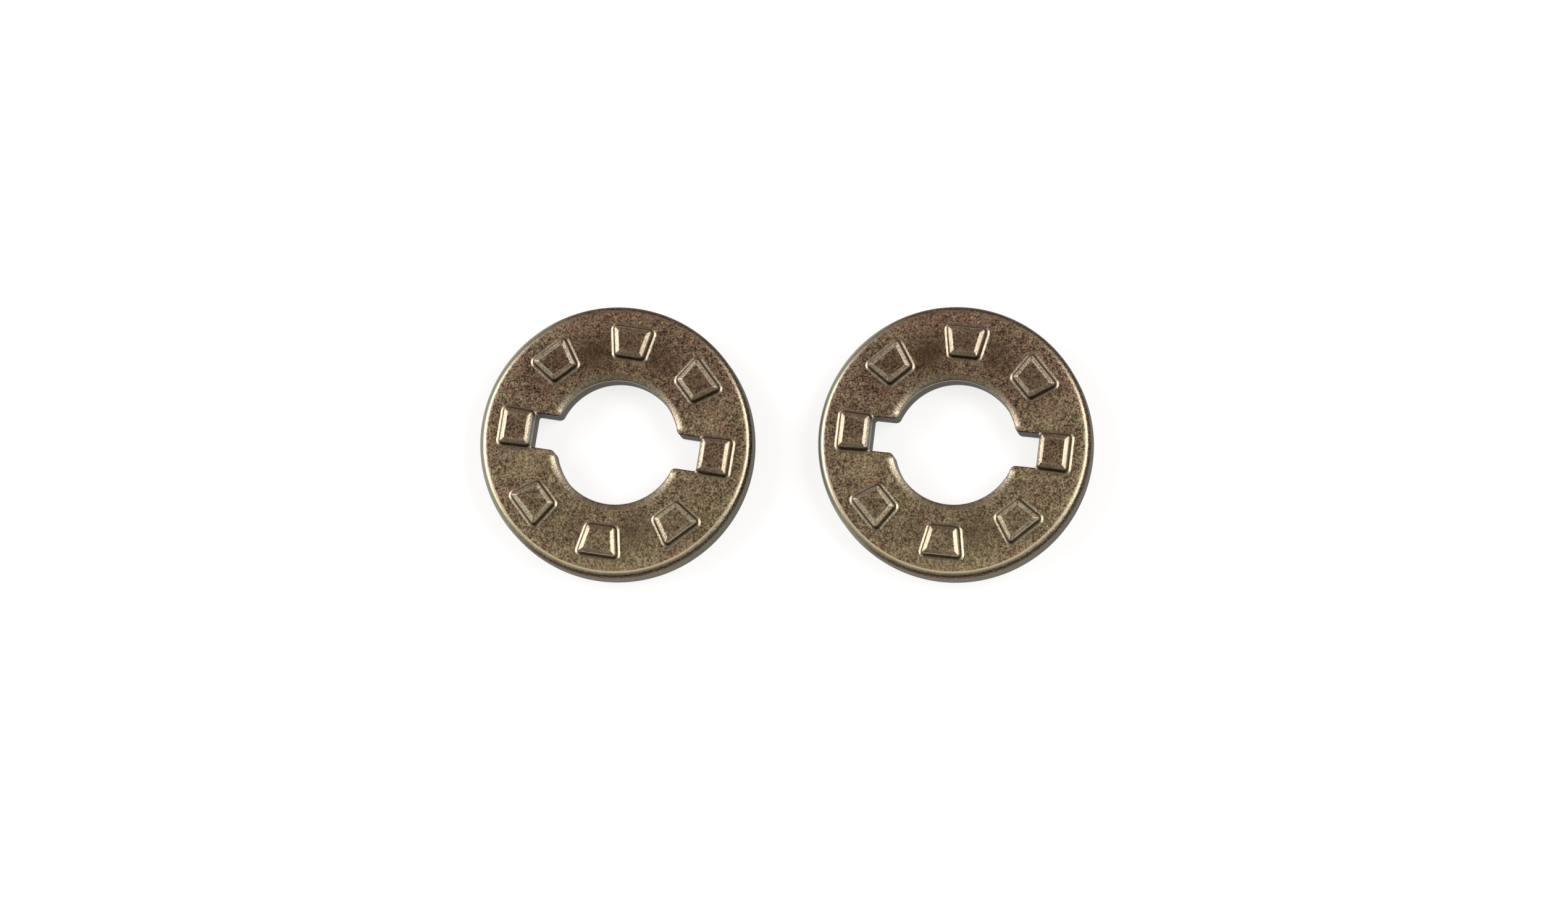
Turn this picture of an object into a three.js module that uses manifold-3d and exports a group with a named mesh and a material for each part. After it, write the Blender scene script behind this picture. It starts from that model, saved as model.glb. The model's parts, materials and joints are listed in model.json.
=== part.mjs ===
// A pair of identical sintered clutch rings, lying side by side with their toothed faces up.
// Each ring is one pressed piece: a flat plate with a bore, two keyways that open into the bore,
// and eight low drive pads on its top face, two of them in line with the keyways.
// Millimetres, +Z up, +X from the left ring's centre to the right ring's.
// The origin is midway between the two rings, on the plane that they lie on.
import * as THREE from "three";
import { mergeVertices } from "three/addons/utils/BufferGeometryUtils.js";
import Module from "manifold-3d";

const wasm = await Module();
wasm.setup();

// ---- driving dimensions -------------------------------------------------------------------

const OUTER_DIAMETER = 44;
const BORE_DIAMETER = 20;
const KEYWAY_WIDTH = 5.5;
const KEYWAY_TIP_TO_TIP = 27;
const PLATE_THICKNESS = 6;
const PAD_HEIGHT = 2;
const PAD_COUNT = 8;

const RING_SPACING = 54.5; // from centre to centre
const LEFT_RING_TURN = THREE.MathUtils.degToRad(-8.5); // of the keyways from +X, seen from above
const RIGHT_RING_TURN = THREE.MathUtils.degToRad(-6);

// ---- edges --------------------------------------------------------------------------------

const RIM_ROUNDING = 1.25; // outer top edge
const RIM_CHAMFER = 0.4; // outer bottom edge
const BEVEL_WIDTH = 1.3; // shallow bevel round the bore, on the top face
const BEVEL_DEPTH = 0.4;
const MOUTH_ROUNDING = 0.9; // where a keyway opens into the bore
const ROOT_ROUNDING = 0.4; // at a keyway's closed end
const CHAMFER_WIDTH = 0.62; // round a pad's flat top, in plan
const CHAMFER_SLOPE = THREE.MathUtils.degToRad(22);
const FLANK_SLOPE = THREE.MathUtils.degToRad(80); // of a pad's sides
const FLANK_CORNER = 0.4; // a pad's upright corners, in plan, just below the chamfer
const FOOT_WIDTH = 0.45; // sloping band where a pad's side meets the plate, in plan
const FOOT_SLOPE = THREE.MathUtils.degToRad(22);

const OUTER_RADIUS = OUTER_DIAMETER / 2;
const BORE_RADIUS = BORE_DIAMETER / 2;
const KEYWAY_HALF = KEYWAY_WIDTH / 2;
const KEYWAY_TIP = KEYWAY_TIP_TO_TIP / 2;

// Flat tops, measured from the ring's axis outwards. A pad's drive sides run roughly radially,
// and the two pads in line with the keyways are nearer to square.
const DRIVE_PAD = { inner: 14.5, outer: 17.8, innerWidth: 3.3, outerWidth: 4.6 };
const KEYWAY_PAD = { inner: 14.5, outer: 17.8, innerWidth: 4.1, outerWidth: 4.3 };

// ---- fineness -----------------------------------------------------------------------------

const RIM_SEGMENTS = 120;
const ROUNDING_STEPS = 5;
const BORE_STEPS = 30; // along each half of the bore
const CORNER_STEPS = 4;
const OVERLAP = 0.5; // how far a pad reaches into the plate, and a cutter past a face

// Points along an arc, both ends included. A clockwise arc has its end angle below its start.
function arcPoints(x, y, radius, from, to, steps) {
  return Array.from({ length: steps + 1 }, (_, i) => {
    const angle = from + ((to - from) * i) / steps;
    return new THREE.Vector2(x + radius * Math.cos(angle), y + radius * Math.sin(angle));
  });
}

function solidFrom(geometry) {
  const bare = geometry.clone();
  bare.deleteAttribute("normal");
  bare.deleteAttribute("uv");
  const merged = mergeVertices(bare, 1e-4);
  return new wasm.Manifold(
    new wasm.Mesh({
      numProp: 3,
      vertProperties: new Float32Array(merged.attributes.position.array),
      triVerts: new Uint32Array(merged.index.array),
    }),
  );
}

function geometryFrom(solid) {
  const mesh = solid.getMesh();
  const geometry = new THREE.BufferGeometry();
  geometry.setAttribute("position", new THREE.BufferAttribute(mesh.vertProperties, 3));
  geometry.setIndex(new THREE.BufferAttribute(mesh.triVerts, 1));
  geometry.computeVertexNormals();
  return geometry;
}

// The turned plate: rounded rim, chamfered foot, and the shallow bevel that runs down to the
// bore. Its own hole is smaller than the bore, which the hole cutter then opens to size.
function plate() {
  const innerRadius = BORE_RADIUS - 2;
  const bevelSlope = BEVEL_DEPTH / BEVEL_WIDTH;
  const bevelFoot = PLATE_THICKNESS - bevelSlope * (BORE_RADIUS + BEVEL_WIDTH - innerRadius);
  const profile = [
    new THREE.Vector2(innerRadius, 0),
    new THREE.Vector2(OUTER_RADIUS - RIM_CHAMFER, 0),
    new THREE.Vector2(OUTER_RADIUS, RIM_CHAMFER),
    ...arcPoints(
      OUTER_RADIUS - RIM_ROUNDING,
      PLATE_THICKNESS - RIM_ROUNDING,
      RIM_ROUNDING,
      0,
      Math.PI / 2,
      ROUNDING_STEPS,
    ),
    new THREE.Vector2(BORE_RADIUS + BEVEL_WIDTH, PLATE_THICKNESS),
    new THREE.Vector2(innerRadius, bevelFoot),
    new THREE.Vector2(innerRadius, 0),
  ];
  return new THREE.LatheGeometry(profile, RIM_SEGMENTS).rotateX(Math.PI / 2);
}

// The outline of the bore with its two keyways, anticlockwise.
function holeOutline() {
  const cornerY = KEYWAY_HALF + MOUTH_ROUNDING;
  const cornerX = Math.sqrt((BORE_RADIUS + MOUTH_ROUNDING) ** 2 - cornerY ** 2);
  const mouth = Math.atan2(cornerY, cornerX); // where the bore's arc meets the rounding
  const rootX = KEYWAY_TIP - ROOT_ROUNDING;
  const rootY = KEYWAY_HALF - ROOT_ROUNDING;
  const quarter = Math.PI / 2;
  const half = [
    ...arcPoints(rootX, -rootY, ROOT_ROUNDING, -quarter, 0, CORNER_STEPS),
    ...arcPoints(rootX, rootY, ROOT_ROUNDING, 0, quarter, CORNER_STEPS),
    ...arcPoints(cornerX, cornerY, MOUTH_ROUNDING, -quarter, mouth - Math.PI, CORNER_STEPS),
    ...arcPoints(0, 0, BORE_RADIUS, mouth, Math.PI - mouth, BORE_STEPS).slice(1, -1),
    ...arcPoints(-cornerX, cornerY, MOUTH_ROUNDING, -mouth, -quarter, CORNER_STEPS),
  ];
  const otherHalf = half.map((point) => point.clone().negate());
  return [...half, ...otherHalf];
}

function holeCutter() {
  const height = PLATE_THICKNESS + PAD_HEIGHT + 2 * OVERLAP;
  return new THREE.ExtrudeGeometry(new THREE.Shape(holeOutline()), {
    depth: height,
    bevelEnabled: false,
  }).translate(0, 0, -OVERLAP);
}

// The corners of a pad's flat top moved out by `grow` with sharp corners, anticlockwise, for a pad
// that points along +X.
function padCorners(pad, grow) {
  const flare = (pad.outerWidth - pad.innerWidth) / 2 / (pad.outer - pad.inner);
  const sideways = grow * Math.hypot(1, flare);
  const outerX = pad.outer + grow;
  const outerY = pad.outerWidth / 2 + grow * flare + sideways;
  const innerX = pad.inner - grow;
  const innerY = pad.innerWidth / 2 - grow * flare + sideways;
  return [
    new THREE.Vector2(outerX, -outerY),
    new THREE.Vector2(outerX, outerY),
    new THREE.Vector2(innerX, innerY),
    new THREE.Vector2(innerX, -innerY),
  ];
}

// The outline of a pad's sides `grow` outside its flat top, with rounded corners.
function padOutline(pad, grow) {
  const core = CHAMFER_WIDTH - FLANK_CORNER;
  const radius = grow - core;
  const flare = Math.atan2((pad.outerWidth - pad.innerWidth) / 2, pad.outer - pad.inner);
  const side = Math.PI / 2 + flare;
  const turns = [-side, 0, side, Math.PI, 2 * Math.PI - side];
  return padCorners(pad, core).flatMap((corner, i) =>
    arcPoints(corner.x, corner.y, radius, turns[i], turns[i + 1], CORNER_STEPS),
  );
}

// A closed solid through outlines that have equal numbers of points, from the lowest up.
function stack(outlines, heights) {
  const count = outlines[0].length;
  const positions = outlines.flatMap((points, level) =>
    points.flatMap((point) => [point.x, point.y, heights[level]]),
  );
  const faces = [];
  for (let level = 0; level < outlines.length - 1; level++) {
    for (let i = 0; i < count; i++) {
      const next = (i + 1) % count;
      const [a, b] = [level * count + i, level * count + next];
      faces.push(a, b, b + count, a, b + count, a + count);
    }
  }
  const top = (outlines.length - 1) * count;
  for (const [a, b, c] of THREE.ShapeUtils.triangulateShape(outlines[0], [])) {
    faces.push(c, b, a);
  }
  for (const [a, b, c] of THREE.ShapeUtils.triangulateShape(outlines.at(-1), [])) {
    faces.push(top + a, top + b, top + c);
  }
  const geometry = new THREE.BufferGeometry();
  geometry.setAttribute("position", new THREE.Float32BufferAttribute(positions, 3));
  geometry.setIndex(faces);
  return solidFrom(geometry).translate(0, 0, PLATE_THICKNESS);
}

// A pad's steep sides with the sloping band at their foot, as high as OVERLAP above the pad.
function padSides(pad) {
  const shoulder = PAD_HEIGHT - CHAMFER_WIDTH * Math.tan(CHAMFER_SLOPE);
  const footTop = FOOT_WIDTH * Math.tan(FOOT_SLOPE);
  const growAt = (height) => CHAMFER_WIDTH + (shoulder - height) / Math.tan(FLANK_SLOPE);
  const reach = growAt(footTop) + FOOT_WIDTH;
  const heights = [-OVERLAP, 0, footTop, PAD_HEIGHT + OVERLAP];
  const grows = [reach, reach, growAt(footTop), growAt(PAD_HEIGHT + OVERLAP)];
  return stack(
    grows.map((grow) => padOutline(pad, grow)),
    heights,
  );
}

// A pad's flat top with its chamfer carried on outwards, down to below the pad's foot.
function padCap(pad) {
  const depth = -2 * OVERLAP;
  const grow = (PAD_HEIGHT - depth) / Math.tan(CHAMFER_SLOPE);
  return stack([padCorners(pad, grow), padCorners(pad, 0)], [depth, PAD_HEIGHT]);
}

// One ring, centred on its axis, its keyways along X.
function ringGeometry() {
  let ring = solidFrom(plate());
  for (let i = 0; i < PAD_COUNT; i++) {
    const inLineWithKeyway = i % (PAD_COUNT / 2) === 0;
    const pad = inLineWithKeyway ? KEYWAY_PAD : DRIVE_PAD;
    const solid = padSides(pad).intersect(padCap(pad));
    ring = ring.add(solid.rotate(0, 0, (i * 360) / PAD_COUNT));
  }
  return geometryFrom(ring.subtract(solidFrom(holeCutter())));
}

function sinteredMetal() {
  return new THREE.MeshStandardMaterial({ color: 0x9c896e, metalness: 1, roughness: 0.42 });
}

function ringMesh(name, geometry, x, turn) {
  const mesh = new THREE.Mesh(geometry, sinteredMetal());
  mesh.name = name;
  mesh.position.x = x;
  mesh.rotation.z = turn;
  return mesh;
}

const ring = ringGeometry();
const pair = new THREE.Group();
pair.add(ringMesh("clutch_ring_left", ring, -RING_SPACING / 2, LEFT_RING_TURN));
pair.add(ringMesh("clutch_ring_right", ring, RING_SPACING / 2, RIGHT_RING_TURN));

export default pair;
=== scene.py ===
# Two sintered clutch rings on a pale floor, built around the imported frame.
# Ring shapes are worked out in millimetres, in a ring's own axes with its keyways along X.
# Near is towards -Y, far is towards +Y and left is towards -X.
import json
import math

import bpy
import numpy as np
from mathutils import Matrix, Vector, geometry, kdtree, noise


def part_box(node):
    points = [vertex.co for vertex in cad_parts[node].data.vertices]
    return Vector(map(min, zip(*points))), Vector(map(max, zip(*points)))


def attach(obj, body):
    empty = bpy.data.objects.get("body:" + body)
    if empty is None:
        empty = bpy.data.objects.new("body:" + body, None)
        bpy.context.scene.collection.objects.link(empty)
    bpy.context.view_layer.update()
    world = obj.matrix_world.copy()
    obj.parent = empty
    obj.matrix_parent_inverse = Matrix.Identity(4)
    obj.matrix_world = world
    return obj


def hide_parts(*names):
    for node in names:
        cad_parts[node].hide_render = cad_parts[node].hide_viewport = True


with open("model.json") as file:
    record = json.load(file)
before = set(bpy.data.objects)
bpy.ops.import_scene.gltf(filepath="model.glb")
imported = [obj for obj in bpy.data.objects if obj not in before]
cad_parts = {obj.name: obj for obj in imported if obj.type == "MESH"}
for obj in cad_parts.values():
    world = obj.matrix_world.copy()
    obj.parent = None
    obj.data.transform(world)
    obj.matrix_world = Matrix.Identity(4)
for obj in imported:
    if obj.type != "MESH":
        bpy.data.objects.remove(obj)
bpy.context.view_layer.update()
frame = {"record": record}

MM = 0.001
QUARTER = math.pi / 2

# ---- the ring's dimensions ----------------------------------------------------------------

RINGS = {
    "left_ring": {"node": "clutch_ring_left", "keyway_mount": "left_keyway_end"},
    "right_ring": {"node": "clutch_ring_right", "keyway_mount": "right_keyway_end"},
}
ring_low, ring_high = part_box("clutch_ring_left")

OUTER_RADIUS = (ring_high.x - ring_low.x) / 2 / MM
PAD_HEIGHT = 2.0
PLATE = (ring_high.z - ring_low.z) / MM - PAD_HEIGHT
PAD_COUNT = 8

BORE_RADIUS = 10.0
KEYWAY_HALF = 2.75
KEYWAY_TIP = 13.5
MOUTH_ROUNDING = 0.9
ROOT_ROUNDING = 0.4
BEVEL_WIDTH = 1.3
BEVEL_DEPTH = 0.4
BEVEL_CURVE = 1.6  # above one, the bevel starts gently and is steepest at the bore
BEVEL_FADE = 1.2  # distance from a keyway at which the bevel has its full depth

RIM_ROUNDING = 1.25
RIM_FOOT_ROUNDING = 0.35
HOLE_EDGE_ROUNDING = 0.22
HOLE_FOOT_ROUNDING = 0.15

# Flat tops, measured from the ring's axis outwards.
DRIVE_PAD = {"inner": 14.5, "outer": 17.8, "inner_width": 3.3, "outer_width": 4.6}
KEYWAY_PAD = {"inner": 14.5, "outer": 17.8, "inner_width": 4.1, "outer_width": 4.3}

# A pad's side in section: a gentle chamfer, a steep flank and a sloping band at the foot.
CHAMFER_WIDTH = 0.62
CHAMFER_RISE = math.tan(math.radians(22))
FLANK_RISE = math.tan(math.radians(80))
FLANK_CORNER = 0.4  # rounding of the upright corners, in plan, just below the chamfer
FOOT_WIDTH = 0.45
FOOT_RISE = math.tan(math.radians(22))
FLANK_DROP = PAD_HEIGHT - CHAMFER_WIDTH * CHAMFER_RISE - FOOT_WIDTH * FOOT_RISE
FLANK_END = CHAMFER_WIDTH + FLANK_DROP / FLANK_RISE
PAD_REACH = FLANK_END + FOOT_WIDTH
EDGE_SOFTNESS = 0.05
SHOULDER_SOFTNESS = 0.3

# The face falls away a little towards the rim, with the square of the distance.
CROWN_START = 18.5
CROWN_FALL = 0.018

UNEVENNESS = 0.012  # height of the slow waves in the pressed surface
WAVE_LENGTH = 3.5

# ---- fineness of the mesh -----------------------------------------------------------------

RIM_POINTS = 360
BEVEL_POINTS = 300
ROUND_STEPS = 10
ROOT_STEPS = 6
MOUTH_STEPS = 8
BORE_STEPS = 110
KEYWAY_END_STEPS = 20
KEYWAY_SIDE_STEPS = 12
PAD_CORNER_STEPS = 8
SHARP_SIDE_STEPS = (22, 18, 17, 18)  # outer side first, then anticlockwise
ROUNDED_SIDE_STEPS = (20, 16, 15, 16)
GRID_STEP = 0.55

# Distances outside a pad's top, and inside the hole's edge, at which outlines are laid.
SHARP_LOOPS = [-0.2, -0.05, 0, 0.05, 0.2, 0.36]
SHOULDER_LOOPS = [CHAMFER_WIDTH + step * 0.03 for step in range(-4, 5)]
FOOT_LOOPS = [FLANK_END + step for step in (-0.1, -0.05, -0.025, 0, 0.025, 0.05, 0.16, 0.28)]
REACH_LOOPS = [PAD_REACH + step for step in (-0.08, -0.05, -0.025, 0, 0.025, 0.05, 0.2)]
ROUNDED_LOOPS = [*SHOULDER_LOOPS, *FOOT_LOOPS, *REACH_LOOPS]
HOLE_LOOPS = [0.012, 0.04, 0.08, 0.14, HOLE_EDGE_ROUNDING, 0.36]
BEVEL_LOOPS = [0.55, 0.75, 0.95, 1.15, BEVEL_WIDTH, 1.55]

# A point is left out where it lies nearer than the gap to one laid before it.
HOLE_GAP = 0.008
PAD_GAP = 0.02
RIM_GAP = 0.05
BEVEL_GAP = 0.1
GRID_GAP = 0.28

# Loops down the walls, as shares of the plate's thickness. The first in the hole comes below
# its rounded edge where the bevel is deepest.
RIM_WALL_SHARES = (0.6, 0.4, 0.2)
HOLE_WALL_TOP = PLATE - BEVEL_DEPTH - HOLE_EDGE_ROUNDING - 0.15
HOLE_WALL_SHARES = (HOLE_WALL_TOP / PLATE, 0.7, 0.5, 0.3)

# How far points keep from the hole's edge and from the rim.
PAD_MARGIN = 0.05
OPEN_MARGIN = 0.4
RIM_LOOP_MARGIN = 0.15
GRID_RIM_MARGIN = 0.3

# ---- looks that depend on the place -------------------------------------------------------

# Each is stored on the mesh and read by the metal, zero for none and one for fully so: edges
# polished by use are bright and smooth, with painted highlight on the rim's left and near sides;
# dirt and painted shade are dark, as painted shade in the crease at each pad's foot, a painted
# dark reflection on the rim's rounding and a darker line along the hole's edge; patches of
# burnishing are dark and smooth, with painted shade in the gaps along one axis and darker pad
# tops (and painted light, lighter than the rest, where below zero); walls are grey and dull,
# painted dark in place of dark reflections; the painted grey sheen on the rim's left side is grey
# and smooth; and the painted highlight line along the rim's near side is pale and matt.
LOOKS = ("worn", "hollow", "burnish_and_shade", "wall", "bare", "scuffed")

BEVEL_WEAR = 0.4
CHAMFER_WEAR = 0.3
CHAMFER_EDGE_WEAR = 0.5  # on top of that, along both edges of a chamfer
TOP_EDGE_REACH = 0.12
SHOULDER_REACH = 0.1
SHOULDER_OVERHANG = 0.06  # how far past its shoulder a chamfer still counts as one
FOOT_WEAR = 0.5
FOOT_WEAR_REACH = 0.35

# Strengths above one stay fully dark for some way to either side.
# Painted shade in the crease at the foot of each pad's steep flank.
FLANK_SHADE = 1.6
FLANK_SHADE_INSET = 0.06
FLANK_SHADE_REACH = 0.3
# A darker line along the hole's edge.
HOLE_EDGE_DARKENING = 1.3
HOLE_EDGE_DARKENING_GAIN = 1.4

# Painted shade in the gaps between pads, strongest along one axis, and painted light in the gaps at the
# sides.
GAP_SHADE_AXIS = math.radians(102)  # the gaps along this line get the most burnishing and painted shade
GAP_SHADE_RADIUS = 14.8
GAP_SHADE_REACH = 5.0
GAP_SHADE_EVEN = 0.15
GAP_SHADE_ALONG_AXIS = 0.6
GAP_SHADE_FAR_END = 0.2
PAD_CLEARANCE = 0.5  # how far from a pad the burnishing and painted shade in the gaps start
PAD_CLEARANCE_FADE = 0.6
PAD_TOP_FADE = 0.3
PAD_TOP_DARKENING = 0.2
FAR_TOP_DARKENING = 0.25  # on top of that, for the pads furthest towards +Y
FAR_TOP_START = -10
FAR_TOP_SPAN = 24

# Bands down the rim's rounding, by share of its drop: strength, middle and reach.
RIM_WEAR = (0.6, 0.1, 0.1)
# The near and left bands are painted highlight on top of the polish all round.
NEAR_RIM_HIGHLIGHT = (0.7, 0.03, 0.06)
LEFT_RIM_HIGHLIGHT = (0.5, 0.04, 0.1)
# A painted dark reflection down the rounding, away from the left side.
RIM_DARK_REFLECTION = (2.2, 0.5, 0.46)
# A painted highlight line along the near side.
RIM_HIGHLIGHT_LINE = (1.0, 0.02, 0.05)
# A painted grey sheen on the left side's rounding, in place of a grey reflection.
GREY_SHEEN_START = 0.06
GREY_SHEEN_GAIN = 10
GREY_SHEEN_END_GAIN = 3

# Where the rim's near side starts, in Y, and its left side, in X, both as shares of the radius,
# and how fast each comes in.
NEAR_SIDE = (0.1, 1.3)
LEFT_SIDE = (-0.35, 1.8)

# ---- outlines -----------------------------------------------------------------------------


def outline(arcs, runs):
    """A closed outline of arcs, each followed by a straight run cut into its number of steps.

    Where the run has no steps, the next arc starts at the point where this one ends.
    """
    points = []
    for i, (x, y, radius, start, end, steps) in enumerate(arcs):
        angles = np.linspace(start, end, steps + 1)
        arc = np.column_stack([x + radius * np.cos(angles), y + radius * np.sin(angles)])
        if runs[i] == 0:
            points.extend(arc[:-1])
            continue
        points.extend(arc)
        next_x, next_y, next_radius, next_start = arcs[(i + 1) % len(arcs)][:4]
        end_x = next_x + next_radius * math.cos(next_start)
        end_y = next_y + next_radius * math.sin(next_start)
        for step in range(1, runs[i]):
            points.append(arc[-1] + (np.array([end_x, end_y]) - arc[-1]) * step / runs[i])
    return np.array(points)


def hole_outline(inset):
    """The bore and its keyways, moved into the metal by inset."""
    corner_y = KEYWAY_HALF + MOUTH_ROUNDING
    corner_x = math.sqrt((BORE_RADIUS + MOUTH_ROUNDING) ** 2 - corner_y**2)
    mouth = math.atan2(corner_y, corner_x)
    root_x, root_y = KEYWAY_TIP - ROOT_ROUNDING, KEYWAY_HALF - ROOT_ROUNDING
    root, corner, bore = ROOT_ROUNDING + inset, MOUTH_ROUNDING - inset, BORE_RADIUS + inset
    half = [
        (root_x, -root_y, root, -QUARTER, 0, ROOT_STEPS),
        (root_x, root_y, root, 0, QUARTER, ROOT_STEPS),
        (corner_x, corner_y, corner, -QUARTER, mouth - math.pi, MOUTH_STEPS),
        (0, 0, bore, mouth, math.pi - mouth, BORE_STEPS),
        (-corner_x, corner_y, corner, -mouth, -QUARTER, MOUTH_STEPS),
    ]
    other_half = [(-x, -y, r, a + math.pi, b + math.pi, n) for x, y, r, a, b, n in half]
    return outline(half + other_half, [KEYWAY_END_STEPS, KEYWAY_SIDE_STEPS, 0, 0, KEYWAY_SIDE_STEPS] * 2)


def circle(radius, count):
    angles = np.arange(count) * 2 * math.pi / count
    return radius * np.column_stack([np.cos(angles), np.sin(angles)])


def rim_outline(inset):
    return circle(OUTER_RADIUS - inset, RIM_POINTS)


def pad_corners(pad, grow):
    """The corners of a pad's flat top moved out by grow and kept sharp, for a pad along +X."""
    flare = (pad["outer_width"] - pad["inner_width"]) / 2 / (pad["outer"] - pad["inner"])
    sideways = grow * math.hypot(1, flare)
    outer_y = pad["outer_width"] / 2 + grow * flare + sideways
    inner_y = pad["inner_width"] / 2 - grow * flare + sideways
    outer_x, inner_x = pad["outer"] + grow, pad["inner"] - grow
    return np.array([[outer_x, -outer_y], [outer_x, outer_y], [inner_x, inner_y], [inner_x, -inner_y]])


def sharp_outline(pad, grow):
    """A pad's flat top moved out by grow, with its sides cut into steps."""
    corners = pad_corners(pad, grow)
    sides = zip(corners, np.roll(corners, -1, axis=0), SHARP_SIDE_STEPS)
    return np.vstack([a + (b - a) * np.arange(n)[:, None] / n for a, b, n in sides])


def rounded_outline(pad, grow):
    """The outline of a pad's sides, grow outside its flat top."""
    core = CHAMFER_WIDTH - FLANK_CORNER
    flare = math.atan2((pad["outer_width"] - pad["inner_width"]) / 2, pad["outer"] - pad["inner"])
    side = QUARTER + flare
    turns = [(-side, 0), (0, side), (side, math.pi), (math.pi, 2 * math.pi - side)]
    corners = zip(pad_corners(pad, core), turns)
    arcs = [(*corner, grow - core, *turn, PAD_CORNER_STEPS) for corner, turn in corners]
    return outline(arcs, ROUNDED_SIDE_STEPS)


def pads():
    """Each pad's shape and its turn about the ring's axis."""
    for i in range(PAD_COUNT):
        in_line_with_keyway = i % (PAD_COUNT // 2) == 0
        yield (KEYWAY_PAD if in_line_with_keyway else DRIVE_PAD), i * 2 * math.pi / PAD_COUNT


def turned(points, angle):
    cos, sin = math.cos(angle), math.sin(angle)
    return points @ np.array([[cos, sin], [-sin, cos]])


# ---- distances ----------------------------------------------------------------------------


def distance_to_loop(points, loop):
    """Each point's distance to a closed polyline."""
    best = np.full(len(points), np.inf)
    for a, b in zip(loop, np.roll(loop, -1, axis=0)):
        along = b - a
        share = np.clip((points - a) @ along / (along @ along), 0, 1)
        best = np.minimum(best, np.linalg.norm(points - a - share[:, None] * along, axis=1))
    return best


def inside_loop(points, loop):
    inside = np.zeros(len(points), bool)
    for a, b in zip(loop, np.roll(loop, -1, axis=0)):
        if a[1] == b[1]:
            continue
        crosses = (a[1] > points[:, 1]) != (b[1] > points[:, 1])
        x = a[0] + (points[:, 1] - a[1]) * (b[0] - a[0]) / (b[1] - a[1])
        inside ^= crosses & (points[:, 0] < x)
    return inside


def sharp_grow(points, pad):
    """How far each point lies outside a pad's flat top, where outlines keep sharp corners."""
    best = np.full(len(points), -np.inf)
    corners = pad_corners(pad, 0)
    for a, b in zip(corners, np.roll(corners, -1, axis=0)):
        along = (b - a) / np.linalg.norm(b - a)
        outward = np.array([along[1], -along[0]])
        best = np.maximum(best, (points - a) @ outward)
    return best


def rounded_grow(points, pad):
    """The same, where outlines have rounded corners as a pad's steep sides do."""
    core = CHAMFER_WIDTH - FLANK_CORNER
    corners = pad_corners(pad, core)
    distance = distance_to_loop(points, corners)
    distance[inside_loop(points, corners)] *= -1
    return distance + core


def pad_distances(points):
    """For each pad, both measures of how far each point lies outside its flat top."""
    for pad, angle in pads():
        local = turned(points, -angle)
        yield sharp_grow(local, pad), rounded_grow(local, pad)


# ---- the toothed face ---------------------------------------------------------------------


def ramp(value):
    """The value where it is above zero, else zero, with the corner softened."""
    corner = np.clip(value + EDGE_SOFTNESS, 0, 2 * EDGE_SOFTNESS) ** 2 / (4 * EDGE_SOFTNESS)
    return corner + np.maximum(value - EDGE_SOFTNESS, 0)


def smooth(value):
    """Zero below zero, one above one, and an even curve between them."""
    value = np.clip(value, 0, 1)
    return value * value * (3 - 2 * value)


def hump(value, centre, half_width):
    """One at the centre, falling to zero half a width to either side."""
    return smooth(1 - np.abs(value - centre) / half_width)


def waves(points):
    return np.array([noise.noise(Vector((x / WAVE_LENGTH, y / WAVE_LENGTH, 0.0))) for x, y in points])


def pad_surface(sharp, rounded):
    """Height of a pad above the plate, from the two measures of how far outside its top."""
    top = PAD_HEIGHT - CHAMFER_RISE * ramp(sharp)
    side = FOOT_RISE * ramp(PAD_REACH - rounded) + (FLANK_RISE - FOOT_RISE) * ramp(FLANK_END - rounded)
    overlap = np.maximum(SHOULDER_SOFTNESS - np.abs(top - side), 0)
    blended = np.minimum(top, side) - overlap**2 / (4 * SHOULDER_SOFTNESS)
    return np.where(side > 0, np.maximum(blended, 0), 0)


def bevel_at(points, radius):
    """How fully the bevel is cut at each point, and what share of the way down it the point is."""
    near_keyway = np.abs(points[:, 0]) > BORE_RADIUS / 2
    from_keyway = np.where(near_keyway, np.abs(points[:, 1]) - KEYWAY_HALF, BEVEL_FADE)
    share = np.clip((BORE_RADIUS + BEVEL_WIDTH - radius) / BEVEL_WIDTH, 0, 1)
    return smooth(from_keyway / BEVEL_FADE), share


def face_height(points, from_hole, from_pads):
    """The toothed face's height at each point."""
    radius = np.linalg.norm(points, axis=1)
    bevel, share = bevel_at(points, radius)
    height = PLATE - BEVEL_DEPTH * bevel * share**BEVEL_CURVE + UNEVENNESS * (waves(points) - 1)
    height -= CROWN_FALL * np.maximum(radius - CROWN_START, 0) ** 2
    for sharp, rounded in from_pads:
        height += pad_surface(sharp, rounded)
    to_level = HOLE_EDGE_ROUNDING - np.minimum(from_hole, HOLE_EDGE_ROUNDING)
    drop = HOLE_EDGE_ROUNDING - np.sqrt(HOLE_EDGE_ROUNDING**2 - to_level**2)
    return height - drop


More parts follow.
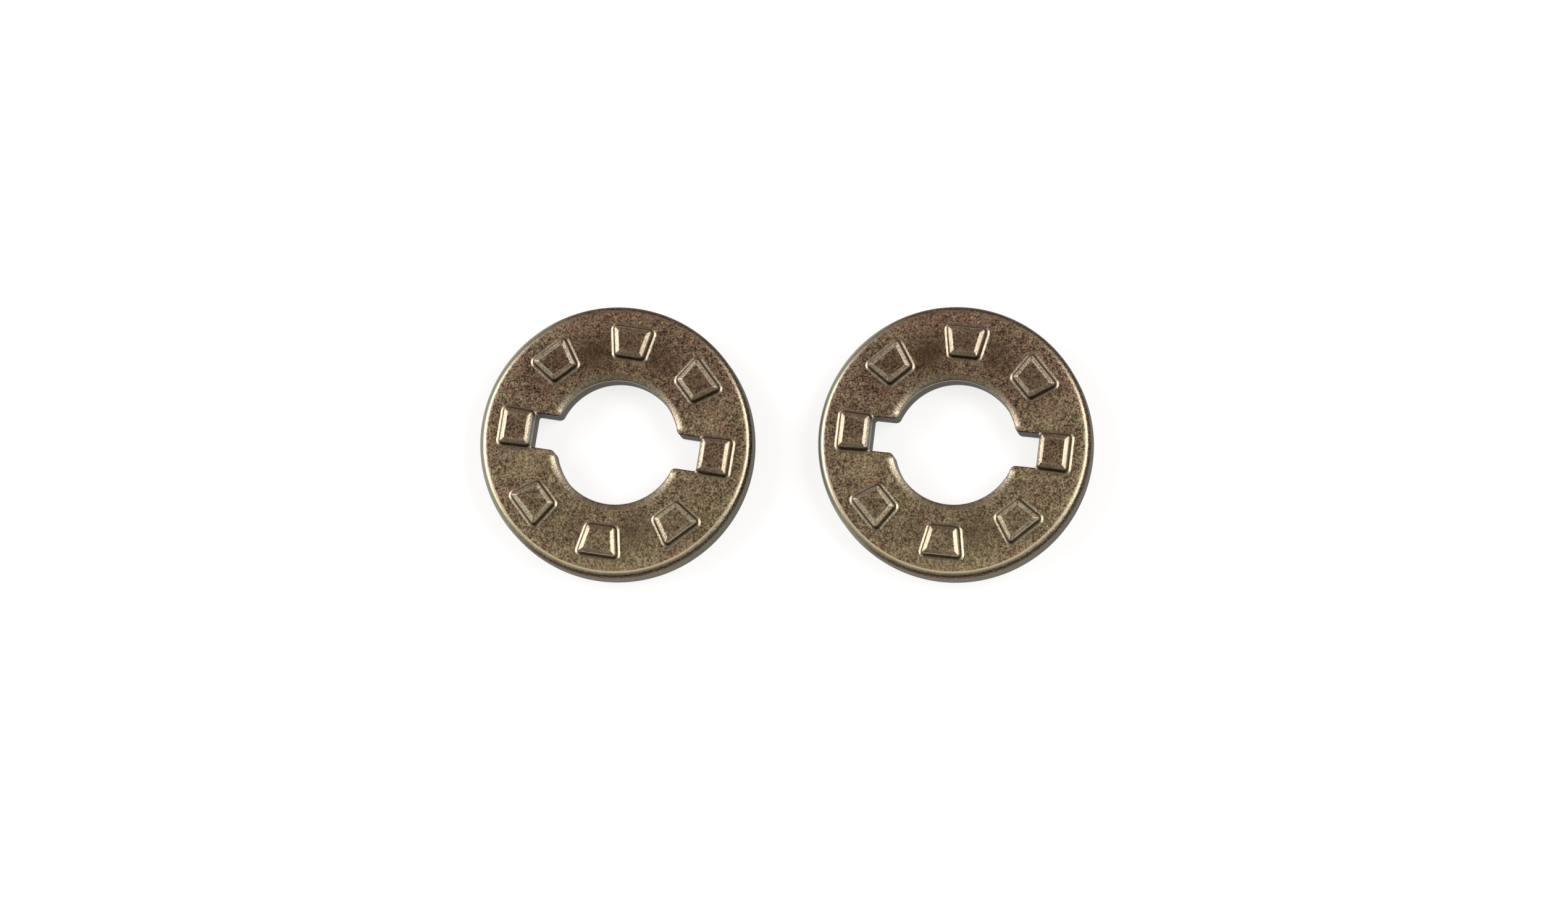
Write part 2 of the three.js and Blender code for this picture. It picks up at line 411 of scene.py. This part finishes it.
def face_looks(points, from_hole, from_pads):
    """The toothed face's looks at each point: polish from use, dirt and painted shade, and burnishing
    with painted shade and light.
    """
    radius = np.linalg.norm(points, axis=1)
    bevel, share = bevel_at(points, radius)
    worn = BEVEL_WEAR * bevel * smooth(2 * share)
    # Darker along the hole's edge.
    hollow = HOLE_EDGE_DARKENING * smooth(HOLE_EDGE_DARKENING_GAIN * (1 - from_hole / HOLE_EDGE_ROUNDING))
    on_pad = np.zeros(len(points))
    on_top = np.zeros(len(points))
    for sharp, rounded in from_pads:
        on_chamfer = (sharp > -EDGE_SOFTNESS) & (rounded < CHAMFER_WIDTH + SHOULDER_OVERHANG)
        shoulder = hump(rounded, CHAMFER_WIDTH, SHOULDER_REACH)
        edge = np.maximum(hump(sharp, 0, TOP_EDGE_REACH), shoulder)
        worn = np.maximum(worn, np.where(on_chamfer, CHAMFER_WEAR + CHAMFER_EDGE_WEAR * edge, 0))
        foot = hump(rounded, PAD_REACH - FOOT_WIDTH / 2, FOOT_WEAR_REACH)
        worn = np.maximum(worn, FOOT_WEAR * foot)
        # Painted shade in the crease at the foot of the pad's steep flank.
        groove = hump(rounded, FLANK_END - FLANK_SHADE_INSET, FLANK_SHADE_REACH)
        hollow = np.maximum(hollow, FLANK_SHADE * groove)
        beside = smooth((PAD_REACH + PAD_CLEARANCE - rounded) / PAD_CLEARANCE_FADE)
        on_pad = np.maximum(on_pad, beside)
        on_top = np.maximum(on_top, smooth(-sharp / PAD_TOP_FADE))
    # The pad tops are darker, more so towards +Y.
    far = smooth((points[:, 1] - FAR_TOP_START) / FAR_TOP_SPAN)
    darker_tops = on_top * (PAD_TOP_DARKENING + FAR_TOP_DARKENING * far)
    gaps = gap_shade_and_light(points, radius) * (1 - on_pad)
    return {"worn": worn, "hollow": hollow, "burnish_and_shade": gaps + darker_tops}


def gap_shade_and_light(points, radius):
    """The gaps between pads: burnishing with painted shade in places, above zero, and painted light,
    lighter, in others.
    """
    angle = np.arctan2(points[:, 1], points[:, 0])
    middle = 0.5 - 0.5 * np.cos(PAD_COUNT * angle)
    off_axis = angle - GAP_SHADE_AXIS
    strength = GAP_SHADE_EVEN + GAP_SHADE_ALONG_AXIS * np.cos(2 * off_axis)
    strength += GAP_SHADE_FAR_END * np.cos(off_axis)
    return middle * strength * hump(radius, GAP_SHADE_RADIUS, GAP_SHADE_REACH)


# ---- the ring's mesh ----------------------------------------------------------------------


def with_added(points, more, gap):
    """Points followed by those of more that lie further than a gap from all of them."""
    tree = kdtree.KDTree(len(points))
    for i, (x, y) in enumerate(points):
        tree.insert((x, y, 0.0), i)
    tree.balance()
    clear = [tree.find((x, y, 0.0))[2] > gap for x, y in more]
    return np.vstack([points, more[clear]])


def face_points(hole):
    """The toothed face's points: the hole's edge first, then the rim's, then all the others."""

    def on_metal(points, margin):
        outside = points[~inside_loop(points, hole)]
        return outside[distance_to_loop(outside, hole) > margin]

    points = np.vstack([hole, rim_outline(RIM_ROUNDING)])
    for inset in HOLE_LOOPS:
        points = with_added(points, hole_outline(inset), HOLE_GAP)
    for pad, angle in pads():
        sharp = [sharp_outline(pad, grow) for grow in SHARP_LOOPS]
        rounded = [rounded_outline(pad, grow) for grow in ROUNDED_LOOPS]
        loops = turned(np.vstack(sharp + rounded), angle)
        points = with_added(points, on_metal(loops, PAD_MARGIN), PAD_GAP)
    for inset in BEVEL_LOOPS:
        loop = circle(BORE_RADIUS + inset, BEVEL_POINTS)
        points = with_added(points, on_metal(loop, OPEN_MARGIN), BEVEL_GAP)
    points = with_added(points, rim_outline(RIM_ROUNDING + RIM_LOOP_MARGIN), RIM_GAP)
    steps = np.arange(-OUTER_RADIUS, OUTER_RADIUS, GRID_STEP)
    grid = np.array([(x + row % 2 * GRID_STEP / 2, y) for row, y in enumerate(steps) for x in steps])
    grid = grid[np.linalg.norm(grid, axis=1) < OUTER_RADIUS - RIM_ROUNDING - GRID_RIM_MARGIN]
    return with_added(points, on_metal(grid, OPEN_MARGIN), GRID_GAP)


def filled(points, hole_count):
    """Triangles, facing up, between the hole's loop and the rim's, which come first in points."""
    rim_end = hole_count + RIM_POINTS
    edges = [(i, (i + 1) % hole_count) for i in range(hole_count)]
    edges += [(hole_count + i, hole_count + (i + 1) % RIM_POINTS) for i in range(RIM_POINTS)]
    made = geometry.delaunay_2d_cdt([Vector(point) for point in points], edges, [], 0, 1e-7)
    source = [ids[0] for ids in made[3]]
    triangles = np.array([[source[corner] for corner in face] for face in made[2]])
    middles = points[triangles].mean(axis=1)
    in_hole = inside_loop(middles, points[:hole_count])
    in_rim = inside_loop(middles, points[hole_count:rim_end])
    triangles = triangles[in_rim & ~in_hole]
    a, b, c = (points[triangles[:, corner]] for corner in range(3))
    clockwise = np.cross(b - a, c - a) < 0
    triangles[clockwise] = triangles[clockwise][:, ::-1]
    return triangles


def quarter_round(radius):
    """Steps of a quarter round from a level face down to a wall: distance in, distance down."""
    angles = np.linspace(0, QUARTER, ROUND_STEPS + 1)[1:]
    return [(radius * (1 - math.sin(a)), radius * (1 - math.cos(a))) for a in angles]


class RingBuilder:
    """Gathers vertices loop by loop, with the values that the metal reads at each."""

    def __init__(self):
        self.verts = []
        self.faces = []
        self.looks = {name: [] for name in LOOKS}

    def add(self, flat, z, **looks):
        first = len(self.verts)
        count = len(flat)
        self.verts.extend(np.column_stack([flat, np.broadcast_to(z, count)]))
        for name, kept in self.looks.items():
            kept.extend(np.broadcast_to(looks.get(name, 0.0), count))
        return first

    def join(self, upper, lower, count, faces_axis):
        """Quads from an upper loop to a lower one."""
        for i in range(count):
            j = (i + 1) % count
            quad = (upper + i, lower + i, lower + j, upper + j)
            self.faces.append(quad[::-1] if faces_axis else quad)

    def wall(self, upper, shares, foot_rounding, loop_at, faces_axis):
        """A wall with a rounded foot, from an upper loop down to the underside.

        It has loops at the given shares of the plate's thickness; loop_at gives a loop's points
        for a distance into the metal. Returns the lowest loop.
        """
        levels = [(0, PLATE * share) for share in shares]
        levels += reversed(quarter_round(foot_rounding))
        levels += [(foot_rounding, 0)]
        for inset, z in levels:
            flat = loop_at(inset)
            lower = self.add(flat, z, wall=1)
            self.join(upper, lower, len(flat), faces_axis)
            upper = lower
        return upper

    def mesh(self, name):
        mesh = bpy.data.meshes.new(name)
        mesh.from_pydata([vert * MM for vert in self.verts], [], self.faces)
        for label, values in self.looks.items():
            attribute = mesh.attributes.new(label, "FLOAT", "POINT")
            attribute.data.foreach_set("value", np.array(values, np.float32))
        mesh.shade_smooth()
        return mesh


def band(share, strength, middle, reach):
    return strength * hump(share, middle, reach)


def below(value, start, gain):
    """Zero down to the start, then rising to one."""
    return smooth(gain * (start - value))


def add_rim_rounding(builder, upper, sag):
    """The rounding from the toothed face's outer loop down to the outer wall.

    Sag is how far that loop lies below the plate's nominal height. Returns the lowest loop.
    """
    outward = circle(1, RIM_POINTS)
    near_side = below(outward[:, 1], *NEAR_SIDE)
    left_side = below(outward[:, 0], *LEFT_SIDE)
    # Down the rounding: painted highlight on the near and left sides, a painted dark reflection away
    # from the left side, a painted grey sheen on the left side and a painted highlight line on the near
    # side.
    for inset, drop in quarter_round(RIM_ROUNDING):
        share = drop / RIM_ROUNDING
        rim_wear_and_highlight = band(share, *RIM_WEAR) + near_side * band(share, *NEAR_RIM_HIGHLIGHT)
        bare = smooth(GREY_SHEEN_GAIN * (share - GREY_SHEEN_START)) * smooth(GREY_SHEEN_END_GAIN * (1 - share))
        looks = {
            "worn": rim_wear_and_highlight + left_side * band(share, *LEFT_RIM_HIGHLIGHT),
            "hollow": (1 - left_side) * band(share, *RIM_DARK_REFLECTION),
            "wall": smooth(2 * share - 1),
            "bare": left_side * bare,
            "scuffed": near_side * band(share, *RIM_HIGHLIGHT_LINE),
        }
        lower = builder.add(rim_outline(inset), PLATE - drop + sag * (1 - share), **looks)
        builder.join(upper, lower, RIM_POINTS, False)
        upper = lower
    return upper


def ring_mesh():
    builder = RingBuilder()
    hole = hole_outline(0)
    count = len(hole)
    points = face_points(hole)
    from_hole = distance_to_loop(points, hole)
    from_pads = list(pad_distances(points))
    height = face_height(points, from_hole, from_pads)
    builder.add(points, height, **face_looks(points, from_hole, from_pads))
    builder.faces.extend(map(tuple, filled(points, count).tolist()))

    sag = height[count : count + RIM_POINTS] - PLATE
    rim = add_rim_rounding(builder, count, sag)
    rim_foot = builder.wall(rim, RIM_WALL_SHARES, RIM_FOOT_ROUNDING, rim_outline, False)
    hole_foot = builder.wall(0, HOLE_WALL_SHARES, HOLE_FOOT_ROUNDING, hole_outline, True)

    # The underside is flat between the two feet.
    foot = np.vstack([hole_outline(HOLE_FOOT_ROUNDING), rim_outline(RIM_FOOT_ROUNDING)])
    ids = np.concatenate([hole_foot + np.arange(count), rim_foot + np.arange(RIM_POINTS)])
    builder.faces.extend(map(tuple, ids[filled(foot, count)[:, ::-1]].tolist()))
    return builder.mesh("clutch_ring")


# ---- the metal ----------------------------------------------------------------------------


class Nodes:
    """Short calls for building one node tree."""

    def __init__(self, tree):
        self.tree = tree
        tree.nodes.clear()

    def add(self, kind, inputs=(), **settings):
        node = self.tree.nodes.new(kind)
        for key, value in settings.items():
            setattr(node, key, value)
        for key, value in dict(inputs).items():
            if isinstance(value, bpy.types.NodeSocket):
                self.tree.links.new(value, node.inputs[key])
            else:
                node.inputs[key].default_value = value
        return node

    def noise(self, vector, scale, detail, roughness=0.5):
        inputs = {"Vector": vector, "Scale": scale, "Detail": detail, "Roughness": roughness}
        return self.add("ShaderNodeTexNoise", inputs).outputs["Fac"]

    def remap(self, value, low, high, to_low=0.0, to_high=1.0):
        inputs = {"Value": value, "From Min": low, "From Max": high, "To Min": to_low, "To Max": to_high}
        return self.add("ShaderNodeMapRange", inputs).outputs["Result"]

    def math(self, operation, first, second):
        return self.add("ShaderNodeMath", {0: first, 1: second}, operation=operation).outputs[0]

    def times(self, first, second):
        return self.math("MULTIPLY", first, second)

    def total(self, first, *others):
        for other in others:
            first = self.math("ADD", first, other)
        return first

    def less(self, first, *others):
        for other in others:
            first = self.math("SUBTRACT", first, other)
        return first

    def scaled(self, vector, factors):
        inputs = {0: vector, 1: factors}
        return self.add("ShaderNodeVectorMath", inputs, operation="MULTIPLY").outputs[0]

    def mix(self, factor, first, second, blend="MIX"):
        inputs = {"Factor": factor, 6: first, 7: second}
        return self.add("ShaderNodeMix", inputs, data_type="RGBA", blend_type=blend).outputs[2]

    def attribute(self, name):
        return self.add("ShaderNodeAttribute", attribute_name=name).outputs["Fac"]


RED_BRONZE = (0.32, 0.208, 0.142, 1)
OLIVE_BRONZE = (0.36, 0.30, 0.18, 1)
# Colour of burnishing, also the painted shade in the gaps.
BURNISHED_AND_SHADED_BRONZE = (0.15, 0.09, 0.055, 1)
# The colour of metal polished by use, also the painted highlight on the rim's near and left sides.
WORN_AND_HIGHLIGHT_BRONZE = (0.68, 0.63, 0.49, 1)
# Painted shade: the walls' dark grey stands in for dark reflections.
SHADED_WALL_METAL = (0.073, 0.069, 0.05, 1)
# The painted grey sheen's colour.
GREY_SHEEN_METAL = (0.26, 0.265, 0.19, 1)
# The painted highlight line's colour.
NEAR_HIGHLIGHT_COLOUR = (0.9, 0.76, 0.47, 1)
# Dark colour for dirt, painted shade and the painted dark reflection on the rim.
GRIME_AND_SHADE = (0.07, 0.048, 0.03, 1)

# Noises: scale per millimetre, detail and roughness.
PATCHES = (0.16, 3)
CLOUDS = (0.8, 3, 0.6)
MOTTLE = (1.6, 2)
GRAIN = (3.6, 1.5, 0.6)
FINE_GRAIN = (9.0, 2)
GRAIN_STRETCH = (1, 1, 0.4)  # below one in Z, so the grain on the walls is drawn out upwards

# Each of these takes a range of what its name says to a range of olive, shade and so on. Olive is
# the share between the two bronzes, and shade multiplies the colour.
# A painted tint of reflected light: redder towards +Y and more olive towards -Y.
OLIVE_BY_Y = (20, -20, 0.05, 0.8)
OLIVE_BY_PATCHES = (0.35, 0.65, -0.35, 0.35)
OLIVE_BY_MOTTLE = (0.35, 0.65, -0.45, 0.45)
GRIME_AND_SHADE_BY_CLOUDS = (0.35, 0.6, 0.6, 1.0)
SHADE_BY_CLOUDS = (0.3, 0.7, 0.9, 1.12)
SHADE_BY_GRAIN = (0.34, 0.66, -0.72, 0.78)
SHADE_BY_Y = (10, -15, -0.06, 0.08)
# Painted light in the gaps at the sides, where the burnishing is below zero.
SHADE_BY_GAP_LIGHT = (0, -1, 0.0, 0.9)
# Painted light on the face's outer band at the near and far ends.
SHADE_AT_NEAR_EDGE = (-15, -21, 0.0, 0.4)
SHADE_AT_FAR_EDGE = (15, 20, 0.0, 0.12)
WEAR_BY_GRAIN = (0.35, 0.6, 0.8, 1.1)
ROUGHNESS_BY_CLOUDS = (0.3, 0.7, 0.32, 0.42)
ROUGHNESS_BY_GRAIN = (0.3, 0.7, -0.04, 0.04)

WALL_COVER = 0.92
WALL_ROUGHENING = 0.2
WEAR_SMOOTHING = 0.16
WALL_DULLNESS = 0.65
HIGHLIGHT_LINE_DULLNESS = 0.85
DUST_GLOSS = 0.05  # specular level of what isn't metallic

# Grain is weaker where the metal is smoothed: by how much, and at most how far.
WALL_SMOOTHED = 0.95
WEAR_SMOOTHED = 1.2
MOST_SMOOTHED = 1.3
GRAIN_LOSS = 0.7

BUMP_STRENGTH = 0.7
BUMP_HEIGHT = 0.06
FINE_GRAIN_BUMP = 0.3


def sintered_metal():
    material = bpy.data.materials.new("sintered_metal")
    material.use_nodes = True
    n = Nodes(material.node_tree)
    in_mm = n.scaled(n.add("ShaderNodeTexCoord").outputs["Object"], (1 / MM,) * 3)
    y = n.add("ShaderNodeSeparateXYZ", {0: in_mm}).outputs["Y"]
    look = {name: n.attribute(name) for name in LOOKS}

    clouds = n.noise(in_mm, *CLOUDS)
    drawn = n.scaled(in_mm, GRAIN_STRETCH)
    grain = n.noise(drawn, *GRAIN)
    fine = n.noise(drawn, *FINE_GRAIN)

    # Redder towards +Y and more olive towards -Y, a painted tint of reflected light, broken up by
    # patches and mottling.
    patchy = n.remap(n.noise(in_mm, *PATCHES), *OLIVE_BY_PATCHES)
    mottled = n.remap(n.noise(in_mm, *MOTTLE), *OLIVE_BY_MOTTLE)
    olive = n.total(n.remap(y, *OLIVE_BY_Y), patchy, mottled)
    colour = n.mix(olive, RED_BRONZE, OLIVE_BRONZE)
    # Burnishing with painted shade darkens the gaps along one axis.
    colour = n.mix(look["burnish_and_shade"], colour, BURNISHED_AND_SHADED_BRONZE)
    # Walls are painted dark in place of dark reflections.
    colour = n.mix(n.times(look["wall"], WALL_COVER), colour, SHADED_WALL_METAL)
    # Dirt and painted shade: the crease at each pad's foot, a painted dark reflection on the rim's
    # rounding and a darker line along the hole's edge.
    grime_and_shade_mask = n.times(look["hollow"], n.remap(clouds, *GRIME_AND_SHADE_BY_CLOUDS))
    colour = n.mix(grime_and_shade_mask, colour, GRIME_AND_SHADE)

    # Grain darkens and lightens all of it, least where it has been smoothed.
    smoothed = n.total(
        n.math("MAXIMUM", look["burnish_and_shade"], 0.0),
        n.times(look["wall"], WALL_SMOOTHED),
        n.times(look["worn"], WEAR_SMOOTHED),
        look["bare"],
    )
    rough = n.less(1.0, n.times(n.math("MINIMUM", smoothed, MOST_SMOOTHED), GRAIN_LOSS))
    shade = n.total(
        n.remap(clouds, *SHADE_BY_CLOUDS),
        n.times(n.remap(grain, *SHADE_BY_GRAIN), rough),
        # Darker towards +Y, then painted light in the gaps at the sides and on the outer band at both
        # ends.
        n.remap(y, *SHADE_BY_Y),
        n.remap(look["burnish_and_shade"], *SHADE_BY_GAP_LIGHT),
        n.remap(y, *SHADE_AT_NEAR_EDGE),
        n.remap(y, *SHADE_AT_FAR_EDGE),
    )
    shade_colour = n.add("ShaderNodeCombineColor", {0: shade, 1: shade, 2: shade}).outputs[0]
    colour = n.mix(1.0, colour, shade_colour, "MULTIPLY")

    # Polish from use, with painted highlight on the rim's near and left sides, the painted grey sheen
    # and the painted highlight line lie on top.
    wear_and_highlight_mask = n.times(look["worn"], n.remap(grain, *WEAR_BY_GRAIN))
    colour = n.mix(wear_and_highlight_mask, colour, WORN_AND_HIGHLIGHT_BRONZE)
    colour = n.mix(look["bare"], colour, GREY_SHEEN_METAL)
    colour = n.mix(look["scuffed"], colour, NEAR_HIGHLIGHT_COLOUR)

    roughness = n.total(n.remap(clouds, *ROUGHNESS_BY_CLOUDS), n.remap(grain, *ROUGHNESS_BY_GRAIN))
    roughness = n.less(roughness, n.times(wear_and_highlight_mask, WEAR_SMOOTHING))
    roughness = n.total(roughness, n.times(look["wall"], WALL_ROUGHENING))
    dull_wall = n.times(look["wall"], WALL_DULLNESS)
    # The painted highlight line is matt.
    metallic = n.less(1.0, dull_wall, n.times(look["scuffed"], HIGHLIGHT_LINE_DULLNESS))

    bumps = n.total(n.times(grain, rough), n.times(fine, FINE_GRAIN_BUMP))
    bump_inputs = {"Strength": BUMP_STRENGTH, "Distance": BUMP_HEIGHT * MM, "Height": bumps}
    surface = n.add(
        "ShaderNodeBsdfPrincipled",
        {
            "Base Color": colour,
            "Metallic": metallic,
            "Roughness": roughness,
            "Specular IOR Level": DUST_GLOSS,
            "Normal": n.add("ShaderNodeBump", bump_inputs).outputs["Normal"],
        },
    )
    n.add("ShaderNodeOutputMaterial", {"Surface": surface.outputs[0]})
    return material


# ---- pieces -------------------------------------------------------------------------------


def keyway_turn(mount_name):
    """The angle of a ring's keyways from +X, from the mount on a keyway's end wall."""
    mount = next(m for m in frame["record"]["mounts"] if m["name"] == mount_name)
    return math.atan2(-mount["axis"][1], -mount["axis"][0])


def add_rings():
    mesh = ring_mesh()
    mesh.materials.append(sintered_metal())
    for body, ring in RINGS.items():
        low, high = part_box(ring["node"])
        turned_mesh = mesh.copy()
        turned_mesh.transform(Matrix.Rotation(keyway_turn(ring["keyway_mount"]), 4, "Z"))
        piece = bpy.data.objects.new(ring["node"] + "_surface", turned_mesh)
        piece.location = ((low.x + high.x) / 2, (low.y + high.y) / 2, low.z)
        bpy.context.collection.objects.link(piece)
        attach(piece, body)
        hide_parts(ring["node"])


# ---- stage, light and camera, in metres ---------------------------------------------------

FLOOR_SIZE = 8.0
FLOOR_GREY = (0.45, 0.45, 0.45, 1)
FLOOR_ROUGHNESS = 0.9
FLOOR_GLOW = 0.75  # keeps the floor near white under soft light

SOFTBOXES = {  # azimuth from +X and elevation, in degrees
    "softbox_right": (11, 51),
    "softbox_left": (168, 40),
}
SOFTBOX_DISTANCE = 0.8
SOFTBOX_WIDTH = 0.52
SOFTBOX_HEIGHT = 0.4
SOFTBOX_RADIANCE = 3.4

CEILING = (0.25, 0.225, 0.2, 1)
BRIGHT_SIDES = (0.85, 0.85, 0.85, 1)
FAR_END = (0.2, 0.12, 0.1, 1)
NEAR_END = (0.09, 0.085, 0.05, 1)
FAR_END_BY_Y = (-0.4, 0.4)
BRIGHT_SIDES_BY_X = (0.3, 0.9)
CEILING_BY_Z = (0.25, 0.9)

VIEW_TILT = math.radians(9.2)  # off the vertical, towards +X and -Y
VIEW_AZIMUTH = math.radians(-53)
VIEW_DISTANCE = 2.4
LENS = 343.5
FAR_CLIP = 20
AIM = Vector((-0.0004, -0.0008, 0.003))


def add_floor():
    half = FLOOR_SIZE / 2
    corners = [(-half, -half, 0), (half, -half, 0), (half, half, 0), (-half, half, 0)]
    mesh = bpy.data.meshes.new("floor")
    mesh.from_pydata(corners, [], [(0, 1, 2, 3)])
    material = bpy.data.materials.new("floor_paper")
    material.use_nodes = True
    shader = material.node_tree.nodes["Principled BSDF"]
    shader.inputs["Base Color"].default_value = FLOOR_GREY
    shader.inputs["Roughness"].default_value = FLOOR_ROUGHNESS
    shader.inputs["Emission Color"].default_value = (1, 1, 1, 1)
    shader.inputs["Emission Strength"].default_value = FLOOR_GLOW
    mesh.materials.append(material)
    floor = bpy.data.objects.new("floor", mesh)
    bpy.context.collection.objects.link(floor)


def add_softbox(name, azimuth, elevation):
    """A rectangular light that faces the origin."""
    a, e = math.radians(azimuth), math.radians(elevation)
    light = bpy.data.lights.new(name, "AREA")
    light.shape = "RECTANGLE"
    light.size, light.size_y = SOFTBOX_WIDTH, SOFTBOX_HEIGHT
    light.energy = SOFTBOX_RADIANCE * math.pi * SOFTBOX_WIDTH * SOFTBOX_HEIGHT
    softbox = bpy.data.objects.new(name, light)
    direction = Vector((math.cos(a) * math.cos(e), math.sin(a) * math.cos(e), math.sin(e)))
    softbox.location = SOFTBOX_DISTANCE * direction
    softbox.rotation_euler = (-softbox.location).to_track_quat("-Z", "Y").to_euler()
    bpy.context.collection.objects.link(softbox)


def add_lights():
    for name, (azimuth, elevation) in SOFTBOXES.items():
        add_softbox(name, azimuth, elevation)


def add_world():
    """A dim ceiling over walls that are bright to the left and right and dim at both ends."""
    world = bpy.data.worlds.new("studio")
    world.use_nodes = True
    n = Nodes(world.node_tree)
    direction = n.add("ShaderNodeTexCoord").outputs["Generated"]
    axes = n.add("ShaderNodeSeparateXYZ", {0: direction}).outputs
    ends = n.mix(n.remap(axes["Y"], *FAR_END_BY_Y), NEAR_END, FAR_END)
    sideways = n.add("ShaderNodeMath", {0: axes["X"]}, operation="ABSOLUTE").outputs[0]
    walls = n.mix(n.remap(sideways, *BRIGHT_SIDES_BY_X), ends, BRIGHT_SIDES)
    colour = n.mix(n.remap(axes["Z"], *CEILING_BY_Z), walls, CEILING)
    background = n.add("ShaderNodeBackground", {"Color": colour, "Strength": 1.0})
    n.add("ShaderNodeOutputWorld", {"Surface": background.outputs[0]})
    bpy.context.scene.world = world


def add_camera():
    """A long lens, tilted a little off the vertical, with the rings' line of centres level."""
    back = Vector((
        math.sin(VIEW_TILT) * math.cos(VIEW_AZIMUTH),
        math.sin(VIEW_TILT) * math.sin(VIEW_AZIMUTH),
        math.cos(VIEW_TILT),
    ))
    right = Vector((1, 0, 0))
    right = (right - back * right.dot(back)).normalized()
    up = back.cross(right)
    camera = bpy.data.objects.new("camera", bpy.data.cameras.new("camera"))
    camera.data.lens = LENS
    camera.data.clip_end = FAR_CLIP
    place = Matrix((right, up, back)).transposed().to_4x4()
    place.translation = AIM + back * VIEW_DISTANCE
    camera.matrix_world = place
    bpy.context.collection.objects.link(camera)
    bpy.context.scene.camera = camera
    bpy.context.scene.view_settings.view_transform = "Standard"


add_camera()
add_rings()
add_floor()
add_lights()
add_world()
